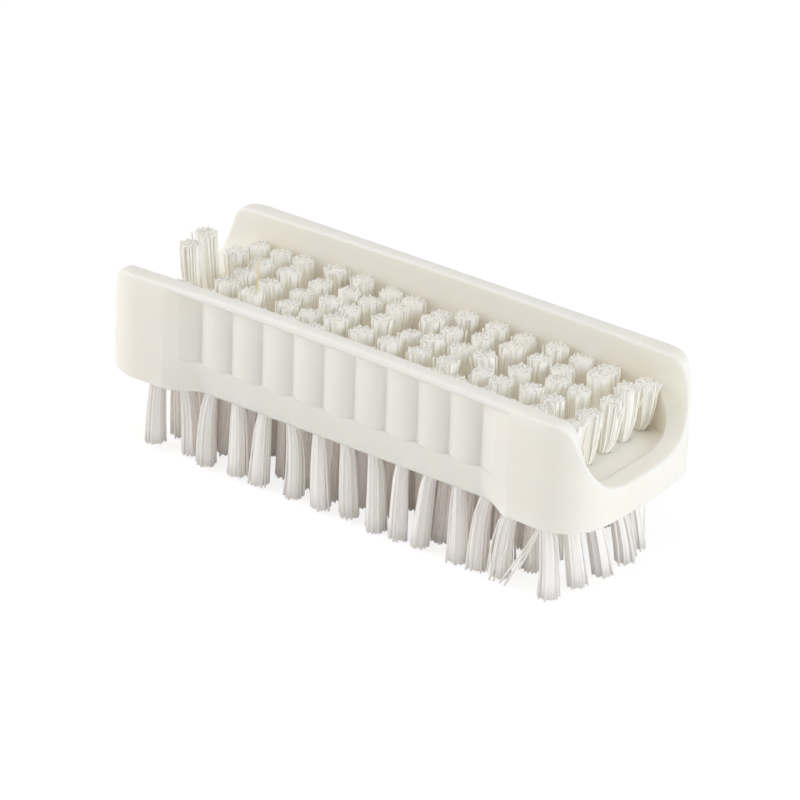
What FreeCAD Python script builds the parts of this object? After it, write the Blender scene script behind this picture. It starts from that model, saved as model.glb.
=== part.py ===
import FreeCAD, Part
import math
import os

import Sketcher
from FreeCAD import Rotation, Vector

# Driving dimensions in millimetres, and counts
SIZES = {
    # body, seen from above
    "body_length": 111.4,
    "body_width": 41.0,
    "corner_radius": 9.3,
    "end_bow": 0.6,
    "rim_waist": 1.0,
    # side walls, channel and low ends
    "rim_height": 21.4,
    "rim_crown": 0.7,
    "wall_thickness": 3.9,
    "wall_end_radius": 3.5,
    "wall_end_inset": 7.4,
    "wall_end_lead": 0.1,
    "channel_corner_radius": 6.5,
    "notch_corner_radius": 10.5,
    "plate_thickness": 6.0,
    "end_rim_step": 0.6,
    "end_rim_width": 4.5,
    "base_edge_radius": 0.8,
    # roundings of the rims, as shares of their least width
    "rim_outer_share": 0.2,
    "rim_inner_share": 0.2,
    # grips on the long sides, and the wall left behind the valleys between the reeds
    "reed_count": 9,
    "reed_depth": 0.9,
    "reed_wall": 1.2,
    "reed_base": 7.0,
    "reed_top_gap": 0.8,
    "reed_shoulder_length": 6.5,
    "base_depth": 3.4,
    "end_block_length": 15.0,
    "shoulder_length": 9.0,
    "shoulder_radius": 4.5,
    # tufts, the holes that they stand in and the gaps from the outer tufts to the walls and ends
    "tuft_columns": 15,
    "tuft_rows": 6,
    "tuft_wall_gap": 0.4,
    "tuft_end_gap": 5.65,
    "hole_diameter": 2.3,
    "hole_web": 0.6,
    "root_clearance": 0.05,
    "bottom_tuft_length": 15.9,
    "bottom_tip_diameter": 3.3,
    "top_tuft_drop": 4.4,
    "top_tip_diameter": 2.9,
    # flat wire anchors in the folds of the tufts
    "anchor_cover": 0.7,
    "anchor_thickness": 0.35,
    "anchor_bite": 0.25,
    "anchor_clearance": 0.03,
    "fold_thickness": 0.7,
    # how far a cut runs past the face that it opens
    "overrun": 2.0,
}

# Shares of a radius, within which a point counts as on a face or past an edge
CONTACT_SHARE = 0.001
CLEAR_SHARE = 0.1
# Share of the largest radius that fits a shoulder
SHOULDER_SHARE = 0.9
# Share of a rounding's radius that it may give way by at each step, and the number of steps
ROUNDING_STEP_SHARE = 0.01
ROUNDING_STEPS = 20

# Places that follow from the driving dimensions
FORMULAS = {
    # plan outline: bowed ends and waisted sides, tangent to the corner arcs
    "corner_x": "[body_length] / 2 - [corner_radius] - [end_bow]",
    "corner_y": "[body_width] / 2 - [corner_radius]",
    "side_reach": "([corner_x] ^ 2 + [rim_waist] ^ 2) / (2 * [rim_waist])",
    "side_radius": "[side_reach] - [corner_radius]",
    "side_x": "[side_radius] * [corner_x] / [side_reach]",
    "side_y": "[corner_y] + [corner_radius] * (1 - [rim_waist] / [side_reach])",
    "end_reach": "([corner_y] ^ 2 + [end_bow] ^ 2) / (2 * [end_bow])",
    "end_radius": "[end_reach] + [corner_radius]",
    "end_x": "[corner_x] + [corner_radius] * (1 - [end_bow] / [end_reach])",
    "end_y": "[corner_y] * [end_radius] / [end_reach]",
    # side view: crowned rim, tangent to the round shoulders of the walls, which lean out below
    "wall_end_x": "[body_length] / 2 - [wall_end_inset]",
    "wall_end_z": "[rim_height] - [wall_end_radius]",
    "lean_run": "([wall_end_inset] + [wall_end_lead])",
    "lean_drop": "([wall_end_z] - [end_rim_z])",
    "lean_square": "([lean_run] ^ 2 + [lean_drop] ^ 2)",
    "lean_length": "sqrt([lean_square] - [wall_end_radius] ^ 2)",
    "lean_out": "([wall_end_radius] * [lean_run] + [lean_length] * [lean_drop]) / [lean_square]",
    "lean_up": "([lean_length] * [lean_run] - [wall_end_radius] * [lean_drop]) / [lean_square]",
    "lean_x": "[wall_end_x] + [wall_end_radius] * [lean_out]",
    "lean_z": "[wall_end_z] + [wall_end_radius] * [lean_up]",
    "foot_x": "[body_length] / 2 + [wall_end_lead]",
    "crown_reach": "([wall_end_x] ^ 2 + [rim_crown] ^ 2) / (2 * [rim_crown])",
    "crown_radius": "[crown_reach] + [wall_end_radius]",
    "crown_x": "[wall_end_x] * [crown_radius] / [crown_reach]",
    "crown_z": "[wall_end_z] + [wall_end_radius] * (1 - [rim_crown] / [crown_reach])",
    "cut_x": "[body_length] / 2 + [overrun]",
    "cut_y": "[body_width] / 2 + [overrun]",
    "cut_top": "[rim_height] + [rim_crown] + [overrun]",
    # end view and floor of the channel
    "channel_y": "[body_width] / 2 - [wall_thickness]",
    "channel_x": "[body_length] / 2 - [end_rim_width]",
    "end_rim_z": "[plate_thickness] + [end_rim_step]",
    # roundings of the rims
    "rim_width": "([wall_thickness] - [rim_waist])",
    "rim_outer_radius": "[rim_outer_share] * [rim_width]",
    "rim_inner_radius": "[rim_inner_share] * [rim_width]",
    # grips
    "grip_x": "[body_length] / 2 - [end_block_length] - [shoulder_length]",
    "grip_depth": "[wall_thickness] - [reed_wall] - [reed_depth]",
    "reed_pitch": "2 * [grip_x] / [reed_count]",
    "reed_height": "[rim_height] - [reed_top_gap] - [reed_base]",
    "reed_radius": "(([reed_pitch] / 2) ^ 2 + [reed_depth] ^ 2) / (2 * [reed_depth])",
    "valley_y": "[channel_y] + [reed_wall]",
    # tuft grid, clear of the channel walls above and of the waisted sides below
    "base_y": "[body_width] / 2 - [base_depth] - [base_edge_radius]",
    "row_y": "min([channel_y] - [top_tip_diameter] / 2; [base_y] - [hole_radius]) - [tuft_wall_gap]",
    "grid_x": "2 * ([channel_x] - [tuft_end_gap] - [top_tip_diameter] / 2)",
    "grid_y": "2 * [row_y]",
    # holes and anchors
    "hole_radius": "[hole_diameter] / 2",
    "hole_depth": "([plate_thickness] - [hole_web]) / 2",
    "root_radius": "[hole_radius] - [root_clearance]",
    "root_depth": "[hole_depth] - [root_clearance]",
    "top_tuft_length": "[rim_height] - [top_tuft_drop] - [plate_thickness]",
    "anchor_base": "[fold_thickness] - [hole_depth]",
    "anchor_height": "[hole_depth] - [fold_thickness] - [anchor_cover]",
    "anchor_x": "[hole_radius] + [anchor_bite]",
    "slit_x": "[anchor_x] + [anchor_clearance]",
    "slit_y": "[anchor_thickness] / 2 + [anchor_clearance]",
    "slit_start": "sqrt([hole_radius] ^ 2 - [slit_y] ^ 2)",
}

doc = FreeCAD.newDocument("nail_brush")
sheet = doc.addObject("Spreadsheet::Sheet", "sizes")
for line, (alias, value) in enumerate(SIZES.items(), start=1):
    sheet.set(f"A{line}", alias)
    sheet.set(f"B{line}", str(value))
    sheet.setAlias(f"B{line}", alias)
doc.recompute()


def formula(text):
    """A formula with each name in brackets written out as cells of the sheet."""
    for name, meaning in FORMULAS.items():
        if f"[{name}]" in text:
            text = text.replace(f"[{name}]", f"({formula(meaning)})")
    for alias in SIZES:
        text = text.replace(f"[{alias}]", f"sizes.{alias}")
    return text


def size(text):
    """The present value of a formula."""
    return float(sheet.evalExpression(formula(text)))


def bind(item, place, text):
    """Ties one property of an object to a formula."""
    item.setExpression(place, formula(text))


def origin_feature(body, role):
    """One of the body's own planes or axes."""
    return next(feature for feature in body.Origin.OriginFeatures if feature.Role == role)


def new_sketch(body, name, role, **offsets):
    """A sketch on one of the body's planes, moved off it by formulas along x, y or z."""
    sketch = body.newObject("Sketcher::SketchObject", name)
    sketch.AttachmentSupport = [(origin_feature(body, role), "")]
    sketch.MapMode = "FlatFace"
    for axis, text in offsets.items():
        bind(sketch, f"AttachmentOffset.Base.{axis}", text)
    return sketch


def dimension(sketch, name, text, kind, *where):
    """A named dimension of a sketch, bound to a formula."""
    index = sketch.addConstraint(Sketcher.Constraint(kind, *where, size(text)))
    sketch.renameConstraint(index, name)
    bind(sketch, f"Constraints.{name}", text)


def closed_loop(sketch, corners):
    """A closed loop through corners given as pairs of formulas.

    Where a corner has a radius and a side as well, the way on from it is an arc that turns to
    that side, and otherwise it is a straight line.
    """
    places = [Vector(size(corner[0]), size(corner[1]), 0) for corner in corners]
    edges = []
    for number, corner in enumerate(corners):
        here = places[number]
        there = places[(number + 1) % len(places)]
        if len(corner) == 2:
            edges.append((sketch.addGeometry(Part.LineSegment(here, there)), 1, 2))
            continue
        radius = size(corner[2])
        chord = there - here
        left = Vector(-chord.y, chord.x, 0).normalize()
        rise = radius - math.sqrt(max(0, radius ** 2 - (chord.Length / 2) ** 2))
        if corner[3] == "left":
            arc = Part.Arc(here, here + chord / 2 - left * rise, there)
            edges.append((sketch.addGeometry(arc), 1, 2))
        else:
            arc = Part.Arc(there, here + chord / 2 + left * rise, here)
            edges.append((sketch.addGeometry(arc), 2, 1))
        dimension(sketch, f"radius_{number}", corner[2], "Radius", edges[-1][0])
    for number, corner in enumerate(corners):
        edge, start, _ = edges[number]
        before, _, finish = edges[number - 1]
        sketch.addConstraint(Sketcher.Constraint("Coincident", before, finish, edge, start))
        for text, axis_name, axis in ((corner[0], "X", -2), (corner[1], "Y", -1)):
            if text == "0":
                sketch.addConstraint(Sketcher.Constraint("PointOnObject", edge, start, axis))
            else:
                dimension(sketch, f"place_{axis_name}_{number}", text, f"Distance{axis_name}",
                          -1, 1, edge, start)


def rectangle(sketch, low_x, high_x, low_y, high_y):
    """An upright rectangle between four formulas."""
    closed_loop(sketch, [(low_x, low_y), (high_x, low_y), (high_x, high_y), (low_x, high_y)])


def pad(body, name, sketch, length):
    """Material raised from a sketch."""
    feature = body.newObject("PartDesign::Pad", name)
    feature.Profile = sketch
    bind(feature, "Length", length)
    doc.recompute()
    return feature


def pocket(body, name, sketch, length=None, upward=False):
    """A cut of a given depth on one side of a sketch, or right through the body on both."""
    before = body.Shape.Volume
    feature = body.newObject("PartDesign::Pocket", name)
    feature.Profile = sketch
    if length:
        bind(feature, "Length", length)
        feature.Reversed = upward
    else:
        feature.Type = "ThroughAll"
        feature.SideType = "Symmetric"
    doc.recompute()
    if body.Shape.Volume >= before:
        raise RuntimeError(f"{name} cuts nothing")
    return feature


def along_x(body, name, feature=None):
    """Copies of one feature, or of the whole body, in the columns of the tuft grid."""
    pattern = body.newObject("PartDesign::LinearPattern", name)
    if feature:
        pattern.Originals = [feature]
    else:
        pattern.TransformMode = "Whole shape"
    pattern.Direction = (origin_feature(body, "X_Axis"), [""])
    bind(pattern, "Length", "[grid_x]")
    bind(pattern, "Occurrences", "[tuft_columns]")
    body.Tip = pattern
    return pattern


def round_edges(body, name, radius, chosen):
    """A fillet on the edges that a test picks by their middle point and the way they run there.

    The radius gives way in small steps where a larger one doesn't close along the curved rims.
    """
    base = body.Tip
    names = []
    for number, edge in enumerate(base.Shape.Edges, start=1):
        first, last = edge.ParameterRange
        halfway = (first + last) / 2
        if chosen(edge.valueAt(halfway), edge.tangentAt(halfway)):
            names.append(f"Edge{number}")
    feature = body.newObject("PartDesign::Fillet", name)
    feature.Base = (base, names)
    for step in range(ROUNDING_STEPS):
        bind(feature, "Radius", f"({radius}) * (1 - {step} * {ROUNDING_STEP_SHARE})")
        doc.recompute()
        if "Invalid" not in feature.State and feature.Shape.isValid():
            return
    raise RuntimeError(f"{name} doesn't fit its edges")


def on_notch(point):
    """Whether a point lies on the walls, bends or floor of the end notch."""
    bend = size("[notch_corner_radius]")
    beyond_y = abs(point.y) - (size("[channel_y]") - bend)
    below_z = size("[end_rim_z]") + bend - point.z
    reach = math.hypot(max(0, beyond_y), max(0, below_z))
    return abs(reach - bend) < bend * CONTACT_SHARE


def outline(body):
    """Plan of the body: bowed ends, round corners and waisted sides."""
    sketch = new_sketch(body, "plan", "XY_Plane")
    closed_loop(sketch, [
        ("[end_x]", "-[end_y]", "[end_radius]", "left"),
        ("[end_x]", "[end_y]", "[corner_radius]", "left"),
        ("[side_x]", "[side_y]", "[side_radius]", "right"),
        ("-[side_x]", "[side_y]", "[corner_radius]", "left"),
        ("-[end_x]", "[end_y]", "[end_radius]", "left"),
        ("-[end_x]", "-[end_y]", "[corner_radius]", "left"),
        ("-[side_x]", "-[side_y]", "[side_radius]", "right"),
        ("[side_x]", "-[side_y]", "[corner_radius]", "left"),
    ])
    return sketch


def above_the_rim(body):
    """Side view of what is cut away above the crowned rim and the leaning wall ends."""
    sketch = new_sketch(body, "rim_line", "XZ_Plane")
    closed_loop(sketch, [
        ("-[crown_x]", "[crown_z]", "[crown_radius]", "right"),
        ("[crown_x]", "[crown_z]", "[wall_end_radius]", "right"),
        ("[lean_x]", "[lean_z]"),
        ("[foot_x]", "[end_rim_z]"),
        ("[cut_x]", "[end_rim_z]"),
        ("[cut_x]", "[cut_top]"),
        ("-[cut_x]", "[cut_top]"),
        ("-[cut_x]", "[end_rim_z]"),
        ("-[foot_x]", "[end_rim_z]"),
        ("-[lean_x]", "[lean_z]", "[wall_end_radius]", "right"),
    ])
    return sketch


def end_notch(body):
    """End view of the gap between the walls, down to the low end rims."""
    sketch = new_sketch(body, "end_view", "YZ_Plane")
    flat_y = "[channel_y] - [notch_corner_radius]"
    bend_z = "[end_rim_z] + [notch_corner_radius]"
    closed_loop(sketch, [
        ("-[channel_y]", "[cut_top]"),
        ("-[channel_y]", bend_z, "[notch_corner_radius]", "left"),
        (f"-({flat_y})", "[end_rim_z]"),
        (flat_y, "[end_rim_z]", "[notch_corner_radius]", "left"),
        ("[channel_y]", bend_z),
        ("[channel_y]", "[cut_top]"),
    ])
    return sketch


def channel_plan(body):
    """Plan of the channel that the short tufts stand in."""
    sketch = new_sketch(body, "channel_plan", "XY_Plane", z="[plate_thickness]")
    bend = "[channel_corner_radius]"
    flat_x = f"[channel_x] - {bend}"
    flat_y = f"[channel_y] - {bend}"
    closed_loop(sketch, [
        ("[channel_x]", f"-({flat_y})"),
        ("[channel_x]", flat_y, bend, "left"),
        (flat_x, "[channel_y]"),
        (f"-({flat_x})", "[channel_y]", bend, "left"),
        ("-[channel_x]", flat_y),
        ("-[channel_x]", f"-({flat_y})", bend, "left"),
        (f"-({flat_x})", "-[channel_y]"),
        (flat_x, "-[channel_y]", bend, "left"),
    ])
    return sketch


def waist_section(body, name, depth, **height):
    """Plan of the side recess at one height: end blocks, sloping shoulders and waist."""
    sketch = new_sketch(body, name, "XY_Plane", **height)
    run = "[shoulder_length]"
    widest = f"({run} ^ 2 + ({depth}) ^ 2) / (4 * ({depth}))"
    bend = f"min([shoulder_radius]; {SHOULDER_SHARE} * {widest})"
    lift = f"(2 * {bend} - ({depth}))"
    square = f"({run} ^ 2 + {lift} ^ 2)"
    root = f"sqrt({square} - 4 * {bend} ^ 2)"
    sine = f"(({run} * 2 * {bend} - {lift} * {root}) / {square})"
    cosine = f"(({lift} * 2 * {bend} + {run} * {root}) / {square})"
    block_x = f"[grip_x] + {run}"
    block_y = "[body_width] / 2"
    waist_y = f"{block_y} - ({depth})"
    high_x = f"{block_x} - {bend} * {sine}"
    high_y = f"{block_y} - {bend} * (1 - {cosine})"
    low_x = f"[grip_x] + {bend} * {sine}"
    low_y = f"{waist_y} + {bend} * (1 - {cosine})"
    closed_loop(sketch, [
        (f"-({block_x})", f"-({block_y})", bend, "left"),
        (f"-({high_x})", f"-({high_y})"),
        (f"-({low_x})", f"-({low_y})", bend, "right"),
        ("-[grip_x]", f"-({waist_y})"),
        ("[grip_x]", f"-({waist_y})", bend, "right"),
        (low_x, f"-({low_y})"),
        (high_x, f"-({high_y})", bend, "left"),
        (block_x, f"-({block_y})"),
        (block_x, "-[cut_y]"),
        (f"-({block_x})", "-[cut_y]"),
    ])
    return sketch


def reed_plan(body):
    """Plan of what is cut away round the upright half-round reeds of one grip."""
    sketch = new_sketch(body, "reed_plan", "XY_Plane", z="[reed_base]")
    count = int(size("[reed_count]"))
    shoulder_x = "[grip_x] + [reed_shoulder_length]"
    shoulder_y = "[body_width] / 2"
    valleys = [f"[reed_pitch] * {number} - [grip_x]" for number in range(count + 1)]
    corners = [(x, "-[valley_y]", "[reed_radius]", "left") for x in valleys[:-1]]
    corners.append((valleys[-1], "-[valley_y]"))
    corners.append((shoulder_x, f"-({shoulder_y})"))
    corners.append((shoulder_x, "-[cut_y]"))
    corners.append((f"-({shoulder_x})", "-[cut_y]"))
    corners.append((f"-({shoulder_x})", f"-({shoulder_y})"))
    closed_loop(sketch, corners)
    return sketch


def tuft_holes(body, name, upward, **height):
    """Blind holes in one face of the plate, with the slits that the anchors bite into."""
    sketch = new_sketch(body, f"{name}_plan", "XY_Plane",
                        x="-[grid_x] / 2", y="-[grid_y] / 2", **height)
    closed_loop(sketch, [
        ("[slit_x]", "-[slit_y]"),
        ("[slit_x]", "[slit_y]"),
        ("[slit_start]", "[slit_y]", "[hole_radius]", "left"),
        ("-[slit_start]", "[slit_y]"),
        ("-[slit_x]", "[slit_y]"),
        ("-[slit_x]", "-[slit_y]"),
        ("-[slit_start]", "-[slit_y]", "[hole_radius]", "left"),
        ("[slit_start]", "-[slit_y]"),
    ])
    hole = pocket(body, name, sketch, "[hole_depth]", upward)
    grid = along_x(body, f"{name}_grid", hole)
    grid.Direction2 = (origin_feature(body, "Y_Axis"), [""])
    bind(grid, "Length2", "[grid_y]")
    bind(grid, "Occurrences2", "[tuft_rows]")
    doc.recompute()


def make_grips(body):
    """The waisted and reeded grips, cut on the near side and mirrored to the far side."""
    sections = [
        waist_section(body, "waist_at_base", "[base_depth] + [base_edge_radius]"),
        waist_section(body, "waist_at_edge", "[base_depth]", z="[base_edge_radius]"),
        waist_section(body, "waist_at_reeds", "[grip_depth]", z="[reed_base]"),
        waist_section(body, "waist_at_rim", "[grip_depth]", z="[reed_base] + [reed_height]"),
    ]
    waist = body.newObject("PartDesign::SubtractiveLoft", "waist")
    waist.Profile = sections[0]
    waist.Sections = sections[1:]
    waist.Ruled = True
    doc.recompute()
    reeds = pocket(body, "reeds", reed_plan(body), "[reed_height]", upward=True)
    far_grip = body.newObject("PartDesign::Mirrored", "far_grip")
    far_grip.Originals = [waist, reeds]
    far_grip.MirrorPlane = (origin_feature(body, "XZ_Plane"), [""])
    body.Tip = far_grip
    doc.recompute()


def make_body():
    """The moulded body: plate, grip walls, low ends, reeds and tuft holes."""
    body = doc.addObject("PartDesign::Body", "brush_body")
    pad(body, "block", outline(body), "[cut_top]")
    pocket(body, "rim", above_the_rim(body))

    wall_z = size("[wall_end_z]") + size("[wall_end_radius]") * CLEAR_SHARE
    wall_y = size("[channel_y]")
    base_z = size("[base_edge_radius]")
    end_x = size("[channel_x]") + size("[end_rim_width]") * CLEAR_SHARE
    round_edges(body, "rim_rounding", "[rim_outer_radius]",
                lambda middle, way: middle.z > wall_z and abs(middle.y) > wall_y)
    round_edges(body, "base_rounding", "[base_edge_radius]",
                lambda middle, way: middle.z < base_z)

    pocket(body, "notch", end_notch(body))
    pocket(body, "channel", channel_plan(body), "[cut_top]", upward=True)
    round_edges(body, "notch_rounding", "[rim_inner_radius]",
                lambda middle, way: on_notch(middle) and (
                    middle.z > wall_z or abs(middle.x) > end_x and abs(way.x) < 1 - CONTACT_SHARE))

    make_grips(body)
    tuft_holes(body, "top_holes", upward=False, z="[plate_thickness]")
    tuft_holes(body, "bottom_holes", upward=True)
    bind(body, "Placement.Base.z", "[bottom_tuft_length]")
    return body


def place_row(body, row, surface, downward):
    """Puts a row on its line of holes, upside down where the tufts point down."""
    if downward:
        body.Placement.Rotation = Rotation(Vector(1, 0, 0), 180)
    bind(body, "Placement.Base.x", "-[grid_x] / 2")
    bind(body, "Placement.Base.y", f"[grid_y] * ({row} / ([tuft_rows] - 1) - 1 / 2)")
    bind(body, "Placement.Base.z", surface)


def make_tuft_row(label, length, tip_diameter):
    """A row of tufts, each a bundle that spreads from its hole, with a slot for its anchor."""
    body = doc.addObject("PartDesign::Body", label)
    profile = new_sketch(body, f"{label}_profile", "XZ_Plane")
    closed_loop(profile, [
        ("0", "-[root_depth]"),
        ("[root_radius]", "-[root_depth]"),
        ("[root_radius]", "0"),
        (f"{tip_diameter} / 2", length),
        ("0", length),
    ])
    bundle = body.newObject("PartDesign::Revolution", f"{label}_bundle")
    bundle.Profile = profile
    bundle.ReferenceAxis = (profile, ["V_Axis"])
    doc.recompute()
    slot_plan = new_sketch(body, f"{label}_slot_plan", "YZ_Plane")
    rectangle(slot_plan, "-[slit_y]", "[slit_y]", "[anchor_base] - [anchor_clearance]",
              "[anchor_base] + [anchor_height] + [anchor_clearance]")
    pocket(body, f"{label}_slot", slot_plan)
    along_x(body, f"{label}_row")
    return body


def make_anchor_row(label):
    """A row of flat wire anchors, one in the fold of each tuft."""
    body = doc.addObject("PartDesign::Body", label)
    plan = new_sketch(body, f"{label}_plan", "XY_Plane", z="[anchor_base]")
    rectangle(plan, "-[anchor_x]", "[anchor_x]", "-[anchor_thickness] / 2", "[anchor_thickness] / 2")
    pad(body, f"{label}_staple", plan, "[anchor_height]")
    along_x(body, f"{label}_row")
    return body


pieces = [make_body()]
floor_level = "[bottom_tuft_length] + [plate_thickness]"
for row in range(int(size("[tuft_rows]"))):
    upper_tufts = make_tuft_row(f"top_tufts_row_{row + 1}", "[top_tuft_length]", "[top_tip_diameter]")
    upper_anchors = make_anchor_row(f"top_anchors_row_{row + 1}")
    lower_tufts = make_tuft_row(f"bottom_tufts_row_{row + 1}", "[bottom_tuft_length]",
                                "[bottom_tip_diameter]")
    lower_anchors = make_anchor_row(f"bottom_anchors_row_{row + 1}")
    for piece in (upper_tufts, upper_anchors):
        place_row(piece, row, floor_level, downward=False)
    for piece in (lower_tufts, lower_anchors):
        place_row(piece, row, "[bottom_tuft_length]", downward=True)
    pieces += [upper_tufts, upper_anchors, lower_tufts, lower_anchors]
doc.recompute()

for item in doc.Objects:
    if "Invalid" in item.State or "Error" in item.State:
        raise RuntimeError(f"{item.Label} failed: {item.State}")
for piece in pieces:
    if piece.Shape.isNull() or not piece.Shape.isValid():
        raise RuntimeError(f"{piece.Label} has no valid shape")

os.makedirs("parts", exist_ok=True)
for piece in pieces:
    piece.Shape.exportStep(f"parts/{piece.Label}.step")
    box = piece.Shape.BoundBox
    print(f"{piece.Label}: {len(piece.Shape.Solids)} solids, {piece.Shape.Volume:.1f} mm3,"
          f" z {box.ZMin:.2f} to {box.ZMax:.2f}")
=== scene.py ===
import math
import random
from collections import namedtuple

import bpy
from mathutils import Matrix, Vector


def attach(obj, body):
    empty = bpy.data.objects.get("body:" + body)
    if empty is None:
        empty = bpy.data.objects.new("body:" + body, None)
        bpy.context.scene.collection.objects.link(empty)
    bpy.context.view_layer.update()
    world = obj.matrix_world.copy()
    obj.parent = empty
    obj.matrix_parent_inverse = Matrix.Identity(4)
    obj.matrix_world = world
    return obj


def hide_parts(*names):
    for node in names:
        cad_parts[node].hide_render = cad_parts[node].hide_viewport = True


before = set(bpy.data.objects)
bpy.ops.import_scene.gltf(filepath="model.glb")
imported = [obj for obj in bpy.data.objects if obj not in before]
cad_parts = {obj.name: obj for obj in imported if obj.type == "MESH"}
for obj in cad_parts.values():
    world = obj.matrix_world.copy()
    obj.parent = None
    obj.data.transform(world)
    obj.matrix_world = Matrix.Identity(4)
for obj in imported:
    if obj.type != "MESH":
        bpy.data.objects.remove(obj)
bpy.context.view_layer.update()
scene = bpy.context.scene
scene.view_settings.view_transform = "Standard"

# Milky bundles need many bounces before their insides look lit
scene.cycles.max_bounces = 48
scene.cycles.diffuse_bounces = 32
scene.cycles.glossy_bounces = 32

MM = 0.001

# Tuft grid, in millimetres, as the solids have it, and how far tips may reach towards the channel's walls
COLUMNS, ROWS = 15, 6
COLUMN_PITCH, ROW_PITCH = 6.3, 5.9
BASE_Z, FLOOR_Z, TOP_TIP_Z = 15.9, 21.9, 32.9
CHANNEL_Y = 16.3

# Form of a tuft in millimetres: its root in the hole, and the power that its opening follows
ROOT_DEPTH, ROOT_RADIUS = 1.6, 1.12
OPENING_POWER = 0.55
GOLDEN_ANGLE = math.pi * (3 - math.sqrt(5))

# The bundle inside a tuft: its rings along the length, its width at the tips and its flutes
CORE_SIDES = 24
CORE_RING_SHARES = (0, 0.25, 0.5, 0.75, 0.975)
CORE_RADIUS_SHARE = 0.965
FLUTE_SHARES = (0.93, 1.03)

# Filaments: beyond the outer share of a tuft's radius they show from root to tip, and loose ones stand wider
FILAMENT_THICKNESS, FILAMENT_SIDES, FILAMENT_STEPS = 0.4, 5, 4
OUTER_SHARE = 0.75
LOOSE_SHARES = (1.02, 1.25)

# A single filament in millimetres: its form, and where it bends off outside its hole
STRAY_RADIUS, STRAY_SIDES, STRAY_STEPS = 0.2, 6, 5
KNEE_RISE, KNEE_SHARE = 1.5, 0.12

# A direction that no filament follows, from which the rings round a filament are set up
ASIDE = Vector((0.3, 1.0, 0.1))

# Unevenness in millimetres, and in radians for turns
LEAN_X, LEAN_Y = 0.7, 0.5
TUFT_BOW, FILAMENT_BOW, BOW_SHARE = 0.25, 0.05, 0.6
PLACE_TURN, TURN_RANGE = 0.12, 6.28
TIP_SCATTER = 0.08
TIP_SHARES = (0.92, 1.1)
RADIUS_SHARES = (0.46, 0.54)
TIGHT_UNEVEN, LOOSE_UNEVEN = 0.2, 0.6

# Places of the materials on a row: filament, a tip end painted dark as the shade between tufts, yellowed
# filament and the inside of a bundle
FILAMENT, PAINTED_SHADE_TIP, AGED, CORE = range(4)

# How far the tips of some tufts, named by row and column, lean along X and Y, and how much longer they are
BOTTOM_LEANS = {
    (1, 1): (-0.9, 0.2), (1, 3): (-1.0, 0.0), (1, 5): (-1.1, 0.0), (1, 9): (0.7, 0.0),
    (1, 10): (-0.6, 0.0), (1, 11): (-1.9, 0.0), (1, 13): (-1.5, 0.0), (1, 14): (-2.8, 0.0),
    (2, 15): (3.4, 0.3), (3, 15): (4.4, 1.2), (4, 15): (5.0, 1.6), (5, 15): (3.4, 1.8),
}
TOP_LEANS = {
    (3, 1): (-2.5, 0.0), (4, 1): (-3.6, 0.0), (1, 15): (0.6, 0.8), (2, 15): (1.0, 0.1),
    (3, 15): (0.5, -0.2), (4, 15): (1.1, 0.3), (5, 15): (0.6, 0.0), (6, 15): (1.2, -0.8),
}
TOP_EXTRA = {(3, 1): 5.4, (4, 1): 5.4}

# Single filaments that stand away from their tufts: row, column, place of the tip and material
BOTTOM_STRAYS = [
    (1, 14, (34.0, -16.7, 0.1), FILAMENT), (1, 14, (34.9, -16.6, 0.2), FILAMENT),
    (1, 14, (36.9, -16.8, 5.2), FILAMENT), (1, 15, (36.3, -16.7, 0.3), FILAMENT),
    (1, 15, (37.3, -16.6, 0.1), FILAMENT), (1, 15, (40.4, -16.8, 4.6), FILAMENT),
]
TOP_STRAYS = [
    (3, 3, (-30.3, -2.95, 39.2), AGED), (4, 15, (48.2, 2.6, 32.4), FILAMENT),
    (5, 15, (48.8, 9.6, 33.4), FILAMENT), (6, 15, (49.2, 13.0, 33.0), FILAMENT),
]

# The tufts of each face of the plate: where they stand, how long, how wide, how many filaments each has and
# what share of their tips is painted dark as shade
Side = namedtuple("Side", "name seed up root_z length uneven tip_radius count loose dark_share "
                          "leans extra strays")
BOTTOM = Side(name="bottom", seed=100, up=-1, root_z=BASE_Z, length=BASE_Z, uneven=0.9,
              tip_radius=1.85, count=46, loose=2, dark_share=0.12,
              leans=BOTTOM_LEANS, extra={}, strays=BOTTOM_STRAYS)
TOP = Side(name="top", seed=200, up=1, root_z=FLOOR_Z, length=TOP_TIP_Z - FLOOR_Z, uneven=1.0,
           tip_radius=2.1, count=50, loose=3, dark_share=0.15,
           leans=TOP_LEANS, extra=TOP_EXTRA, strays=TOP_STRAYS)

# The photograph's viewpoint: angles in degrees, lengths in millimetres, and the picture in its pixels
AZIMUTH, ELEVATION, ROLL = 35.634, 26.226, 2.162
CAMERA_DISTANCE, CAMERA_HEIGHT = 865.94, 27.04
FOCAL_PX, IMAGE_PX = 4718.7, 800.0
AIM_RIGHT_PX, AIM_DOWN_PX = 2.413, 40.364
SENSOR_WIDTH = 36.0

# Stage in metres, and the floor's greys: where it bounces light, and where it is seen, with its own glow
CLIP_NEAR, CLIP_FAR = 0.01, 50.0
LAMP_AIM_Z = 0.025
FLOOR_HALF = 6.0
FLOOR_BOUNCE, FLOOR_SEEN, FLOOR_GLOW = 0.9, 0.28, 0.8

# The middle of a noise texture's range, over which colours run from dark to light
RAMP_START, RAMP_END = 0.3, 0.7


def new_material(name):
    """Gives a new node material, its tree, and its shader, which is wired to the output."""
    material = bpy.data.materials.new(name)
    material.use_nodes = True
    tree = material.node_tree
    tree.nodes.clear()
    output = tree.nodes.new("ShaderNodeOutputMaterial")
    shader = tree.nodes.new("ShaderNodeBsdfPrincipled")
    tree.links.new(shader.outputs["BSDF"], output.inputs["Surface"])
    return material, tree, shader


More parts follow.
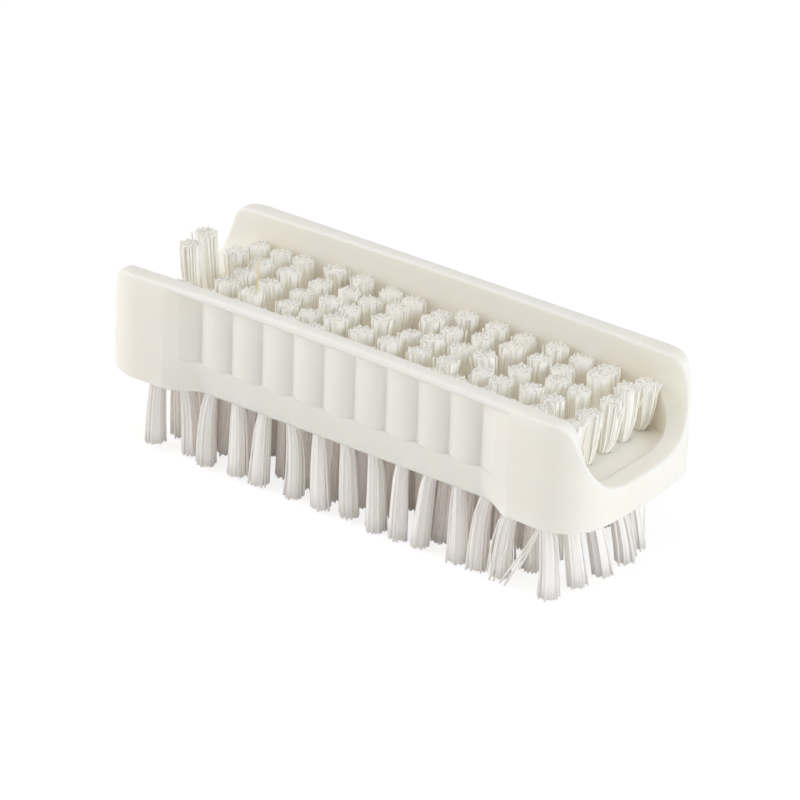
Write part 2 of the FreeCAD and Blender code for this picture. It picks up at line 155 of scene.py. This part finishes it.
def noise(tree, where, scale, detail, stretch=(1, 1, 1)):
    """A noise texture in the object's own metres, drawn out along the axes by stretch."""
    mapping = tree.nodes.new("ShaderNodeMapping")
    mapping.inputs["Scale"].default_value = stretch
    tree.links.new(where, mapping.inputs["Vector"])
    texture = tree.nodes.new("ShaderNodeTexNoise")
    texture.inputs["Scale"].default_value = scale
    texture.inputs["Detail"].default_value = detail
    tree.links.new(mapping.outputs["Vector"], texture.inputs["Vector"])
    return texture.outputs["Fac"]


def ramp(tree, value, dark, light):
    """A colour ramp from dark to light over the middle of a texture's range."""
    node = tree.nodes.new("ShaderNodeValToRGB")
    stops = ((RAMP_START, dark), (RAMP_END, light))
    for element, (place, colour) in zip(node.color_ramp.elements, stops):
        element.position = place
        element.color = (*colour, 1)
    tree.links.new(value, node.inputs["Fac"])
    return node.outputs["Color"]


def spread(tree, value, low, high):
    """Maps a texture's value from 0..1 to a range."""
    node = tree.nodes.new("ShaderNodeMapRange")
    node.inputs["To Min"].default_value = low
    node.inputs["To Max"].default_value = high
    tree.links.new(value, node.inputs["Value"])
    return node.outputs["Result"]


def bump(tree, height, strength, distance):
    """A bump node driven by a height texture."""
    node = tree.nodes.new("ShaderNodeBump")
    node.inputs["Strength"].default_value = strength
    node.inputs["Distance"].default_value = distance
    tree.links.new(height, node.inputs["Height"])
    return node


def coordinates(tree):
    """The object's own coordinates, in metres."""
    return tree.nodes.new("ShaderNodeTexCoord").outputs["Object"]


def plastic_material():
    """Warm white moulded plastic: a faint mottle, a fine satin grain and edges that catch light."""
    material, tree, shader = new_material("body_plastic")
    where = coordinates(tree)
    mottle = noise(tree, where, scale=45.0, detail=4.0)
    colour = ramp(tree, mottle, dark=(0.885, 0.85, 0.78), light=(0.915, 0.885, 0.82))
    tree.links.new(colour, shader.inputs["Base Color"])
    grain = noise(tree, where, scale=1800.0, detail=2.0)
    roughness = spread(tree, grain, low=0.30, high=0.44)
    tree.links.new(roughness, shader.inputs["Roughness"])
    soft = tree.nodes.new("ShaderNodeBevel")
    soft.samples = 6
    soft.inputs["Radius"].default_value = 0.5 * MM
    relief = bump(tree, grain, strength=0.12, distance=0.02 * MM)
    tree.links.new(soft.outputs["Normal"], relief.inputs["Normal"])
    tree.links.new(relief.outputs["Normal"], shader.inputs["Normal"])
    shader.inputs["Subsurface Weight"].default_value = 0.7
    shader.inputs["Subsurface Radius"].default_value = (1.0, 0.92, 0.84)
    shader.inputs["Subsurface Scale"].default_value = 3.5 * MM
    shader.inputs["Specular IOR Level"].default_value = 0.4
    return material


def filament_material(name, dark, light):
    """Clear-white nylon: satin, with faint streaks along its length."""
    material, tree, shader = new_material(name)
    where = coordinates(tree)
    streak = noise(tree, where, scale=1100.0, detail=2.0, stretch=(1, 1, 0.05))
    tree.links.new(ramp(tree, streak, dark, light), shader.inputs["Base Color"])
    roughness = spread(tree, streak, low=0.34, high=0.48)
    tree.links.new(roughness, shader.inputs["Roughness"])
    relief = bump(tree, streak, strength=0.25, distance=0.04 * MM)
    tree.links.new(relief.outputs["Normal"], shader.inputs["Normal"])
    shader.inputs["Specular IOR Level"].default_value = 0.35
    return material


def wire_material():
    """Drawn flat steel wire: streaks along its length."""
    material, tree, shader = new_material("anchor_wire")
    where = coordinates(tree)
    streak = noise(tree, where, scale=1500.0, detail=3.0, stretch=(0.1, 1, 1))
    colour = ramp(tree, streak, dark=(0.55, 0.55, 0.54), light=(0.74, 0.74, 0.72))
    tree.links.new(colour, shader.inputs["Base Color"])
    roughness = spread(tree, streak, low=0.25, high=0.45)
    tree.links.new(roughness, shader.inputs["Roughness"])
    relief = bump(tree, streak, strength=0.3, distance=0.01 * MM)
    tree.links.new(relief.outputs["Normal"], shader.inputs["Normal"])
    shader.inputs["Metallic"].default_value = 1.0
    return material


def column_x(column):
    """Place of a column of tufts along X."""
    return (column - (COLUMNS + 1) / 2) * COLUMN_PITCH


def row_y(row):
    """Place of a row of tufts along Y."""
    return (row - (ROWS + 1) / 2) * ROW_PITCH


def within_channel(y, margin):
    """Keeps a place along Y between the walls of the channel, with a margin."""
    edge = CHANNEL_Y - margin
    return max(-edge, min(edge, y))


def add_tube(mesh_data, rings, kind, end_kind):
    """A closed tube through rings of points, in millimetres. Its last face has a material of its own."""
    verts, faces, kinds = mesh_data
    sides = len(rings[0])
    start = len(verts)
    last = start + (len(rings) - 1) * sides
    for ring in rings:
        verts += [point * MM for point in ring]
    for low in range(start, last, sides):
        for side in range(sides):
            after = (side + 1) % sides
            faces.append((low + side, low + after, low + sides + after, low + sides + side))
            kinds.append(kind)
    faces.append(tuple(range(start + sides - 1, start - 1, -1)))
    faces.append(tuple(range(last, last + sides)))
    kinds += [kind, end_kind]


def add_filament(mesh_data, points, radius, sides, turn, kind, end_kind):
    """One filament along points, in millimetres."""
    angles = [turn + 2 * math.pi * side / sides for side in range(sides)]
    rings = []
    for number, point in enumerate(points):
        before = points[max(0, number - 1)]
        after = points[min(len(points) - 1, number + 1)]
        along = (after - before).normalized()
        across = along.cross(ASIDE).normalized()
        other = along.cross(across)
        ways = [math.cos(angle) * across + math.sin(angle) * other for angle in angles]
        rings.append([point + radius * way for way in ways])
    add_tube(mesh_data, rings, kind, end_kind)


def add_core(mesh_data, rng, spine, up):
    """A fluted strand along a spine of middles and radii, for the filaments that a bundle hides."""
    flutes = [rng.uniform(*FLUTE_SHARES) for side in range(CORE_SIDES)]
    angles = [2 * math.pi * side / CORE_SIDES * up for side in range(CORE_SIDES)]
    ways = [Vector((math.cos(angle), math.sin(angle), 0)) for angle in angles]
    rings = []
    for middle, radius in spine:
        rings.append([middle + way * radius * flute for way, flute in zip(ways, flutes)])
    add_tube(mesh_data, rings, CORE, CORE)


def add_tuft(mesh_data, rng, root, length, lean, side):
    """A tuft that leaves its hole as one tight bundle and opens into separate, uneven tips."""
    twist = rng.uniform(0, 2 * math.pi)
    bow = Vector((rng.gauss(0, TUFT_BOW), rng.gauss(0, TUFT_BOW), 0))
    sunk = Vector((0, 0, side.up * ROOT_DEPTH))

    def along(foot, tip, part, own_bow, reach):
        """The place at a part of the way from a foot to a tip, bowed out in between."""
        place = foot.lerp(tip, part ** OPENING_POWER) + own_bow * math.sin(math.pi * part) * BOW_SHARE
        return root + place + Vector((0, 0, side.up * reach * part))

    spine = [(root - sunk, ROOT_RADIUS)]
    for part in CORE_RING_SHARES:
        wider = (CORE_RADIUS_SHARE * side.tip_radius - ROOT_RADIUS) * part ** OPENING_POWER
        spine.append((along(Vector((0, 0, 0)), lean, part, bow, length), ROOT_RADIUS + wider))
    add_core(mesh_data, rng, spine, side.up)
    for number in range(side.count + side.loose):
        tight = number < side.count
        share = math.sqrt((number + 0.5) / side.count) if tight else rng.uniform(*LOOSE_SHARES)
        angle = twist + number * GOLDEN_ANGLE + rng.gauss(0, PLACE_TURN)
        way = Vector((math.cos(angle), math.sin(angle), 0))
        foot = way * ROOT_RADIUS * min(1, share)
        tip = way * side.tip_radius * share * rng.uniform(*TIP_SHARES)
        tip += lean + Vector((rng.gauss(0, TIP_SCATTER), rng.gauss(0, TIP_SCATTER), 0))
        if side.up > 0:
            tip.y = within_channel(root.y + tip.y, 0) - root.y
        own_bow = bow + Vector((rng.gauss(0, FILAMENT_BOW), rng.gauss(0, FILAMENT_BOW), 0))
        reach = length - abs(rng.gauss(0, TIGHT_UNEVEN if tight else LOOSE_UNEVEN))
        # A filament inside the bundle shows only near its tip
        outer = share > OUTER_SHARE
        first = 0 if outer else FILAMENT_STEPS - 1
        steps = range(first, FILAMENT_STEPS + 1)
        points = [along(foot, tip, step / FILAMENT_STEPS, own_bow, reach) for step in steps]
        if outer:
            points.insert(0, root + foot - sunk)
        # Some tips take a dark colour: painted shade for the shade that falls between tufts at their tips
        end_kind = PAINTED_SHADE_TIP if rng.random() < side.dark_share else FILAMENT
        radius = FILAMENT_THICKNESS * rng.uniform(*RADIUS_SHARES)
        turn = rng.uniform(0, TURN_RANGE)
        add_filament(mesh_data, points, radius, FILAMENT_SIDES, turn, FILAMENT, end_kind)


def add_stray(mesh_data, rng, root, up, tip, kind):
    """One filament that leaves its tuft and runs to a tip of its own."""
    knee = root + Vector((0, 0, up * KNEE_RISE)) + (tip - root) * KNEE_SHARE
    points = [root - Vector((0, 0, up * ROOT_DEPTH)), root]
    for step in range(1, STRAY_STEPS + 1):
        part = step / STRAY_STEPS
        points.append(root.lerp(knee, part).lerp(knee.lerp(tip, part), part))
    turn = rng.uniform(0, TURN_RANGE)
    add_filament(mesh_data, points, STRAY_RADIUS, STRAY_SIDES, turn, kind, kind)


def make_row(side, row, materials):
    """All tufts of one row as one piece that stands for the row's solids."""
    rng = random.Random(side.seed + row)
    mesh_data = ([], [], [])
    columns = range(1, COLUMNS + 1)
    roots = {column: Vector((column_x(column), row_y(row), side.root_z)) for column in columns}
    for column, root in roots.items():
        key = (row, column)
        lean_x, lean_y = side.leans.get(key, (rng.gauss(0, LEAN_X), rng.gauss(0, LEAN_Y)))
        if side.up > 0:
            lean_y = within_channel(root.y + lean_y, side.tip_radius) - root.y
        length = side.length - rng.uniform(0, side.uneven) + side.extra.get(key, 0)
        add_tuft(mesh_data, rng, root, length, Vector((lean_x, lean_y, 0)), side)
    for its_row, column, tip, kind in side.strays:
        if its_row == row:
            add_stray(mesh_data, rng, roots[column], side.up, Vector(tip), kind)
    verts, faces, kinds = mesh_data
    label = f"bristles_{side.name}_{row}"
    mesh = bpy.data.meshes.new(label)
    mesh.from_pydata(verts, [], faces)
    mesh.polygons.foreach_set("use_smooth", [True] * len(mesh.polygons))
    for material in materials:
        mesh.materials.append(material)
    mesh.polygons.foreach_set("material_index", kinds)
    mesh.update()
    piece = bpy.data.objects.new(label, mesh)
    scene.collection.objects.link(piece)
    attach(piece, "root")
    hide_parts(f"{side.name}_tufts_row_{row}")


def dress(node, material):
    """Puts a finished material on a solid of the frame."""
    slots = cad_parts[node].data.materials
    slots.clear()
    slots.append(material)


def make_camera():
    """A long lens from the front right, above."""
    azimuth, elevation, roll = (math.radians(angle) for angle in (AZIMUTH, ELEVATION, ROLL))
    distance = CAMERA_DISTANCE * MM
    middle = Vector((0, 0, CAMERA_HEIGHT * MM))
    back = Vector((math.sin(azimuth) * math.cos(elevation), -math.cos(azimuth) * math.cos(elevation),
                   math.sin(elevation)))
    level = Vector((math.cos(azimuth), math.sin(azimuth), 0))
    plumb = back.cross(level)
    right = math.cos(roll) * level + math.sin(roll) * plumb
    up = math.cos(roll) * plumb - math.sin(roll) * level
    place = middle + back * distance
    aim = middle + (AIM_RIGHT_PX * right - AIM_DOWN_PX * up) * distance / FOCAL_PX
    back = (place - aim).normalized()
    right = (right - back * right.dot(back)).normalized()
    up = back.cross(right)
    data = bpy.data.cameras.new("camera")
    data.sensor_width = SENSOR_WIDTH
    data.lens = SENSOR_WIDTH * FOCAL_PX / IMAGE_PX
    data.clip_start = CLIP_NEAR
    data.clip_end = CLIP_FAR
    camera = bpy.data.objects.new("camera", data)
    turned = Matrix((right, up, back)).transposed().to_4x4()
    camera.matrix_world = Matrix.Translation(place) @ turned
    scene.collection.objects.link(camera)
    scene.camera = camera


def grey(level):
    """An opaque colour without a tint."""
    return (level, level, level, 1)


def either(tree, one, other):
    """A value that is on where either of two is."""
    node = tree.nodes.new("ShaderNodeMath")
    node.operation = "MAXIMUM"
    tree.links.new(one, node.inputs[0])
    tree.links.new(other, node.inputs[1])
    return node.outputs["Value"]


def floor_material():
    """White with a soft shadow where it is seen, and plain pale where it only bounces light."""
    material = bpy.data.materials.new("studio_floor")
    material.use_nodes = True
    tree = material.node_tree
    tree.nodes.clear()
    output = tree.nodes.new("ShaderNodeOutputMaterial")
    path = tree.nodes.new("ShaderNodeLightPath")
    seen = either(tree, path.outputs["Is Camera Ray"], path.outputs["Is Transmission Ray"])
    seen = either(tree, seen, path.outputs["Is Glossy Ray"])
    plain = tree.nodes.new("ShaderNodeBsdfDiffuse")
    plain.inputs["Color"].default_value = grey(FLOOR_BOUNCE)
    shaded = tree.nodes.new("ShaderNodeBsdfDiffuse")
    shaded.inputs["Color"].default_value = grey(FLOOR_SEEN)
    glow = tree.nodes.new("ShaderNodeEmission")
    glow.inputs["Strength"].default_value = FLOOR_GLOW
    both = tree.nodes.new("ShaderNodeAddShader")
    tree.links.new(shaded.outputs["BSDF"], both.inputs[0])
    tree.links.new(glow.outputs["Emission"], both.inputs[1])
    mix = tree.nodes.new("ShaderNodeMixShader")
    tree.links.new(seen, mix.inputs["Fac"])
    tree.links.new(plain.outputs["BSDF"], mix.inputs[1])
    tree.links.new(both.outputs["Shader"], mix.inputs[2])
    tree.links.new(mix.outputs["Shader"], output.inputs["Surface"])
    return material


def make_stage():
    """A wide white floor."""
    corners = ((-1, -1), (1, -1), (1, 1), (-1, 1))
    mesh = bpy.data.meshes.new("floor")
    mesh.from_pydata([(x * FLOOR_HALF, y * FLOOR_HALF, 0) for x, y in corners], [], [(0, 1, 2, 3)])
    mesh.materials.append(floor_material())
    floor = bpy.data.objects.new("floor", mesh)
    scene.collection.objects.link(floor)


def make_world(level):
    """An even studio sky that the camera sees as white."""
    world = bpy.data.worlds.new("studio")
    scene.world = world
    world.use_nodes = True
    tree = world.node_tree
    tree.nodes.clear()
    output = tree.nodes.new("ShaderNodeOutputWorld")
    path = tree.nodes.new("ShaderNodeLightPath")
    sky = tree.nodes.new("ShaderNodeBackground")
    sky.inputs["Color"].default_value = grey(1)
    sky.inputs["Strength"].default_value = level
    white = tree.nodes.new("ShaderNodeBackground")
    white.inputs["Color"].default_value = grey(1)
    mix = tree.nodes.new("ShaderNodeMixShader")
    tree.links.new(path.outputs["Is Camera Ray"], mix.inputs["Fac"])
    tree.links.new(sky.outputs["Background"], mix.inputs[1])
    tree.links.new(white.outputs["Background"], mix.inputs[2])
    tree.links.new(mix.outputs["Shader"], output.inputs["Surface"])


def add_lamp(name, place, size, power, colour):
    """A large, square, soft lamp that faces the brush."""
    data = bpy.data.lights.new(name, "AREA")
    data.shape = "SQUARE"
    data.size = size
    data.energy = power
    data.color = colour
    lamp = bpy.data.objects.new(name, data)
    lamp.location = place
    lamp.rotation_mode = "QUATERNION"
    lamp.rotation_quaternion = (Vector((0, 0, LAMP_AIM_Z)) - Vector(place)).to_track_quat("-Z", "Y")
    scene.collection.objects.link(lamp)


dress("brush_body", plastic_material())
wire = wire_material()
for side in (BOTTOM, TOP):
    for row in range(1, ROWS + 1):
        dress(f"{side.name}_anchors_row_{row}", wire)

long_nylon = filament_material("long_filament", dark=(0.93, 0.895, 0.865), light=(0.975, 0.95, 0.925))
long_core = filament_material("long_bundle", dark=(0.94, 0.905, 0.875), light=(0.98, 0.955, 0.93))
short_nylon = filament_material("short_filament", dark=(0.94, 0.915, 0.85), light=(0.98, 0.965, 0.91))
short_core = filament_material("short_bundle", dark=(0.95, 0.925, 0.865), light=(0.985, 0.97, 0.92))
# The dark brown tip colour is painted shade between tufts, not a colour that the nylon has
painted_shade_tips = filament_material("painted_tip_shade", dark=(0.60, 0.53, 0.42), light=(0.72, 0.66, 0.55))
aged_nylon = filament_material("aged_filament", dark=(0.80, 0.72, 0.42), light=(0.86, 0.80, 0.54))
for row in range(1, ROWS + 1):
    make_row(BOTTOM, row, (long_nylon, painted_shade_tips, aged_nylon, long_core))
    make_row(TOP, row, (short_nylon, painted_shade_tips, aged_nylon, short_core))

make_camera()
make_stage()
make_world(level=0.41)
add_lamp("lamp_left", place=(-0.88, -0.56, 0.46), size=0.8, power=6.1, colour=(1.0, 0.985, 0.96))
add_lamp("lamp_right", place=(0.98, 0.10, 0.38), size=0.8, power=6.2, colour=(0.92, 0.97, 1.0))
add_lamp("lamp_top", place=(0.0, -0.2, 1.3), size=0.9, power=3.1, colour=(1.0, 1.0, 1.0))
